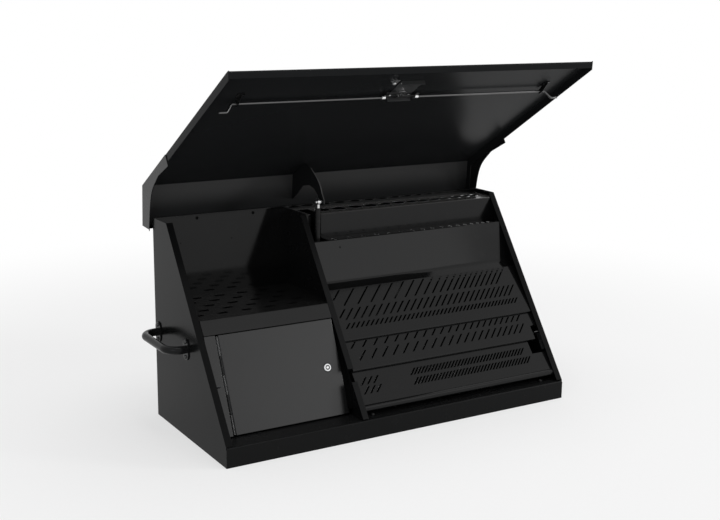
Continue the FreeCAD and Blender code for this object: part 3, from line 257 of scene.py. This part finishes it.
# The shelf and the top step carry a heavy grey film on faces that look up: painted light that brightens their tops,
# with some dust.
shelf_coat = powder_coat("shelf_coat", tone=0.0050, gloss=0.17, edge=0.0006, shine=0.24, top_dust_and_light=0.30)
step_coat = powder_coat("top_step_coat", tone=0.0050, gloss=0.17, edge=0.0008, shine=0.22, top_dust_and_light=0.85,
                        top_dust_and_light_tone=0.10)
door_coat = powder_coat("door_coat", tone=0.0060, gloss=0.24, dust=0.15, shine=0.38)
# cheek_coat is a lighter copy of the black coat: painted light on the lid's cheeks.
cheek_coat = powder_coat("cheek_coat", tone=0.0090, shine=0.16)
# bracket_coat is a much lighter copy of the black coat: painted light on the latch bracket and the catches, which
# stand in shade.
bracket_coat = powder_coat("bracket_coat", tone=0.030, gloss=0.30, edge=0.0004, shine=0.45)
handle_coat = powder_coat("handle_coat", tone=0.0080, gloss=0.22, edge=0.0004, shine=0.12)
lid_finish = lid_coat()
zinc = zinc_plate("bright_zinc")
white_zinc = zinc_plate("white_zinc", tone=0.80, rough=0.42)
dark_zinc = zinc_plate("dark_zinc", tone=0.05, rough=0.30)
rod_steel = zinc_plate("rod_steel", tone=0.12)
chrome = chrome_plate()
enamel = strut_enamel()
rubber = moulded_rubber()
joint_and_socket_shade = dark_joint_and_socket_shade()

# What each solid wears; the solids that aren't named here wear the cabinet's coat
WEARS = {
    lid_finish: ["lid_panel", "strut_gusset", "lid_hinge_leaf"],
    cheek_coat: ["left_lid_cheek", "right_lid_cheek"],
    bracket_coat: ["latch_bracket", "left_catch", "right_catch"],
    door_coat: ["locker_door", "locker_door_hinge_leaf", "locker_stile"],
    step_coat: ["upper_hole_shelf"],
    shelf_coat: ["bin_shelf"],
    tray_coat: ["lower_hole_shelf", "upper_slot_rack", "middle_slot_rack", "lower_slot_rack", "back_panel",
                "left_rod_guide", "right_rod_guide"],
    handle_coat: ["left_handle_bar", "right_handle_bar", "left_handle_rear_foot", "left_handle_front_foot",
                  "right_handle_rear_foot", "right_handle_front_foot", "cabinet_hinge_screws"],
    side_coat: ["left_side_panel", "right_side_panel"],
    dark_zinc: ["left_handle_bolts", "right_handle_bolts", "locker_hinge_pin"],
    zinc: ["lid_hinge_pin", "strut_upper_pin", "latch_rotor", "locker_lock_cam", "lid_lock_cam",
           "strut_lower_eye", "strut_upper_eye"],
    rod_steel: ["left_latch_rod", "right_latch_rod"],
    white_zinc: ["locker_lock_plug", "lid_lock_plug"],
    chrome: ["locker_lock_shell", "lid_lock_shell", "latch_grip", "latch_rose", "strut_rod"],
    enamel: ["strut_tube"],
    rubber: ["sill_bumpers"],
}
finish_of = {node: finish for finish, nodes in WEARS.items() for node in nodes}
for name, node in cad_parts.items():
    node.data.materials.clear()
    node.data.materials.append(finish_of.get(name, cabinet_coat))


# Added pieces

def turned_form(shape, profile, place, sides=28):
    """Add a turned form to a bmesh: the profile's points are radius and height."""
    rings = []
    for radius, height in profile:
        if radius < 1e-6:
            rings.append([shape.verts.new(place @ Vector((0, 0, height)))])
            continue
        turns = [2 * math.pi * k / sides for k in range(sides)]
        rings.append([shape.verts.new(place @ Vector((radius * math.cos(turn), radius * math.sin(turn), height)))
                      for turn in turns])
    for low, high in zip(rings, rings[1:]):
        for k in range(sides):
            following = (k + 1) % sides
            if len(low) == 1:
                shape.faces.new((low[0], high[following], high[k]))
            elif len(high) == 1:
                shape.faces.new((low[k], low[following], high[0]))
            else:
                shape.faces.new((low[k], low[following], high[following], high[k]))


def piece(name, shape, finish, body, sharp=35):
    """Make a bmesh a piece that rides on a body; edges that bend more than sharp degrees stay sharp."""
    bmesh.ops.recalc_face_normals(shape, faces=shape.faces)
    mesh = bpy.data.meshes.new(name)
    shape.to_mesh(mesh)
    shape.free()
    for face in mesh.polygons:
        face.use_smooth = True
    mesh.set_sharp_from_angle(angle=math.radians(sharp))
    made = bpy.data.objects.new(name, mesh)
    bpy.context.scene.collection.objects.link(made)
    mesh.materials.append(finish)
    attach(made, body)


def turned_set(name, profile, places, finish, body, sides=28):
    shape = bmesh.new()
    for place in places:
        turned_form(shape, profile, place, sides)
    piece(name, shape, finish, body)


def quarter_turn(side=1):
    """Turn Z to point to the right, or to the left for side -1."""
    return Matrix.Rotation(math.radians(90 * side), 4, "Y")


def on_lid(x, along, depth):
    """A place inside the lid, its Z pointing into the box."""
    return LID @ Matrix.Translation((x, -along, -depth)) @ Matrix.Rotation(math.pi, 4, "X")


RIVET = [(0.0029, 0.0), (0.0029, 0.0004), (0.0025, 0.0011), (0.0015, 0.0016), (0.0, 0.0018)]
guide_rivets = [on_lid(side * 0.456 + across, 0.520, LID_SHEET + 0.002)
                for side in (-1, 1) for across in (-0.0055, 0.0055)]
turned_set("guide_rivets", RIVET, guide_rivets, handle_coat, "lid")
bracket_rivets = [on_lid(across, along, 0.0035) for across in (-0.026, 0.029) for along in (0.487, 0.552)]
turned_set("latch_bracket_rivets", RIVET, bracket_rivets, zinc, "lid")

KEY_NUT = [(0.0098, 0.0), (0.0098, 0.0022), (0.0078, 0.0030), (0.0062, 0.0030), (0.0062, 0.0)]
turned_set("lid_lock_nut", KEY_NUT, [on_lid(-0.055, 0.562, LID_SHEET)], white_zinc, "lid", sides=6)

# Ferrules on the latch rods, just outside the latch bracket
FERRULE = [(0.0030, 0.0), (0.0042, 0.0006), (0.0042, 0.0092), (0.0030, 0.0100)]
for side, rod in ((-1, "left_rod"), (1, "right_rod")):
    start = LID @ Matrix.Translation((side * 0.0445, -0.491, -0.011)) @ quarter_turn(side)
    turned_set(rod + "_ferrule", FERRULE, [start], white_zinc, rod, sides=20)


def hole_glint_rings(name, shelf, distance, first, pitch, count, radius, wire):
    """Thin bright rings round a row of holes that close up by 2 mm each to the right: painted highlights for the
    glints on the holes' edges.

    distance is from the back panel, and radius gives a hole's radius for its pitch.
    """
    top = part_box(shelf)[1][2] - 0.0002
    shape = bmesh.new()
    x = first
    for _ in range(count):
        rim = radius(pitch)
        ring = [(rim - wire, 0.0), (rim, wire), (rim + wire, 0.0), (rim, -wire), (rim - wire, 0.0)]
        turned_form(shape, ring, Matrix.Translation((x, SHELF_REAR - distance, top)), 40)
        x += pitch
        pitch -= 0.002
    bmesh.ops.remove_doubles(shape, verts=shape.verts, dist=1e-6)
    piece(name, shape, zinc, "cabinet", sharp=60)


# Bright zinc rings round the holes of both shelves: painted highlights for the glints on the hole edges.
hole_glint_rings("upper_hole_edges", "upper_hole_shelf", 0.050, -0.043, 0.055, 13, lambda pitch: pitch * 0.41, 0.0009)
hole_glint_rings("lower_hole_edges", "lower_hole_shelf", 0.136, -0.053, 0.048, 17,
           lambda pitch: 0.003 + pitch * 0.075, 0.0006)

# Dark joint between a lock's shell and its plug, and the seal round the shell
DOOR_LOCK = Matrix.Translation((-0.1823, -0.107147, 0.171011)) @ Matrix.Rotation(math.radians(66.3), 4, "X")
LID_LOCK = LID @ Matrix.Translation((-0.055, -0.562, 0))
LOCK_JOINT = [(0.0034, 0.00125), (0.0064, 0.00125), (0.0064, 0.00172), (0.0038, 0.00172), (0.0034, 0.00125)]
LOCK_SEAL = [(0.0106, 0.0), (0.0132, 0.0), (0.0130, 0.0005), (0.0106, 0.0008), (0.0106, 0.0)]
for lock, place, body in (("locker_lock", DOOR_LOCK, "locker_door"), ("lid_lock", LID_LOCK, "lid")):
    turned_set(lock + "_joint", LOCK_JOINT, [place], joint_and_socket_shade, body, sides=40)
    turned_set(lock + "_seal", LOCK_SEAL, [place], joint_and_socket_shade, body, sides=40)

# Hexagon sockets in the heads of the handle bolts: flat dark hexagons on the heads, painted shade for the sockets'
# hollows.
SOCKET = [(0.0023, -0.0006), (0.0023, 0.00005), (0.0, 0.00005)]
bolt_heads = [Matrix.Translation((side * 0.53345, y, z)) @ quarter_turn(side)
              for side in (-1, 1) for y in (0.1992, 0.0132) for z in (0.2205, 0.2595)]
turned_set("handle_bolt_sockets", SOCKET, bolt_heads, joint_and_socket_shade, "cabinet", sides=6)

# Washer that holds the strut's upper eye on its pin
WASHER = [(0.0042, 0.0), (0.0078, 0.0), (0.0078, 0.0012), (0.0042, 0.0012), (0.0042, 0.0)]
upper_pin_end = Matrix.Translation((-0.0918, 0.10118, 0.571478)) @ quarter_turn()
turned_set("strut_upper_clip", WASHER, [upper_pin_end], zinc, "lid")


# Floor, lamps and camera

def studio_floor():
    """A pale paper floor that keeps the toolbox's shadow and goes over into plain white further out."""
    shape = bmesh.new()
    bmesh.ops.create_circle(shape, cap_ends=True, radius=30.0, segments=96)
    mesh = bpy.data.meshes.new("studio_floor")
    shape.to_mesh(mesh)
    shape.free()
    floor = bpy.data.objects.new("studio_floor", mesh)
    bpy.context.scene.collection.objects.link(floor)
    floor.location = (0, 0, -0.0002)
    paper = Finish("pale_paper")
    tooth = paper.noise(90.0, 3.0)
    paper.show(paper.blend(tooth, grey(0.86), grey(0.90)), 0.85 + tooth * 0.1, tooth, strength=0.05,
               distance=0.0003)
    reach = paper.node("ShaderNodeVectorMath", {"operation": "LENGTH"}, {0: paper.place()}, output="Value")
    white = paper.node("ShaderNodeEmission", inputs={"Color": grey(1.0), "Strength": 1.0})
    paper.mix_into("Material Output", paper.step(reach, 0.9, 2.6, 0.6, 1.0) * paper.seen_directly(),
                   Value(paper, paper.shader.outputs[0]), white)
    mesh.materials.append(paper.material)


def studio_world(level):
    """Soft light of this level on the things, and plain white where the world itself is seen."""
    world = bpy.data.worlds.new("studio")
    bpy.context.scene.world = world
    world.use_nodes = True
    sky = Nodes(world.node_tree)
    soft = sky.tree.nodes["Background"]
    soft.inputs["Color"].default_value = grey(1.0)
    soft.inputs["Strength"].default_value = level
    white = sky.node("ShaderNodeBackground", inputs={"Color": grey(1.0), "Strength": 1.0})
    sky.mix_into("World Output", sky.seen_directly(), Value(sky, soft.outputs[0]), white)


def lamp(name, place, aim, spread, power, tint=(1.0, 1.0, 1.0)):
    data = bpy.data.lights.new(name, "AREA")
    data.color = tint
    data.shape = "RECTANGLE"
    data.size, data.size_y = spread
    data.energy = power
    light = bpy.data.objects.new(name, data)
    bpy.context.scene.collection.objects.link(light)
    light.location = place
    light.rotation_euler = (Vector(aim) - Vector(place)).to_track_quat("-Z", "Y").to_euler()


def photo_camera():
    """The photo's camera, solved from the cabinet's straight edges."""
    turn, dip, roll = math.radians(31.286), math.radians(12.69), math.radians(0.595)
    focal_pixels, picture_pixels, film_width = 1181.65, 720, 36.0
    ahead = Vector((math.sin(turn) * math.cos(dip), math.cos(turn) * math.cos(dip), -math.sin(dip)))
    across = Vector((math.cos(turn), -math.sin(turn), 0))
    up = across.cross(ahead)
    right = across * math.cos(roll) + up * math.sin(roll)
    top = up * math.cos(roll) - across * math.sin(roll)
    data = bpy.data.cameras.new("photo_camera")
    data.sensor_width = film_width
    data.lens = focal_pixels / picture_pixels * film_width
    data.clip_start, data.clip_end = 0.05, 200.0
    viewer = bpy.data.objects.new("photo_camera", data)
    bpy.context.scene.collection.objects.link(viewer)
    stands = Matrix.Translation((-1.6478, -2.6771, 1.1264))
    viewer.matrix_world = stands @ Matrix((right, top, -ahead)).transposed().to_4x4()
    bpy.context.scene.camera = viewer


MIDDLE = (0.0, 0.0, 0.35)
studio_floor()
studio_world(0.42)
lamp("key", (5.0, -3.5, 2.3), MIDDLE, (1.2, 1.2), 105.0)
lamp("front", (2.9, -5.0, 2.5), MIDDLE, (2.4, 2.4), 14.0)
lamp("left", (-3.2, -2.6, 1.8), MIDDLE, (1.6, 1.6), 16.0, (0.88, 0.94, 1.0))
lamp("top", (0.2, -0.4, 3.2), (0.0, 0.0, 0.4), (2.0, 1.6), 40.0)
photo_camera()
bpy.context.scene.view_settings.view_transform = "Standard"
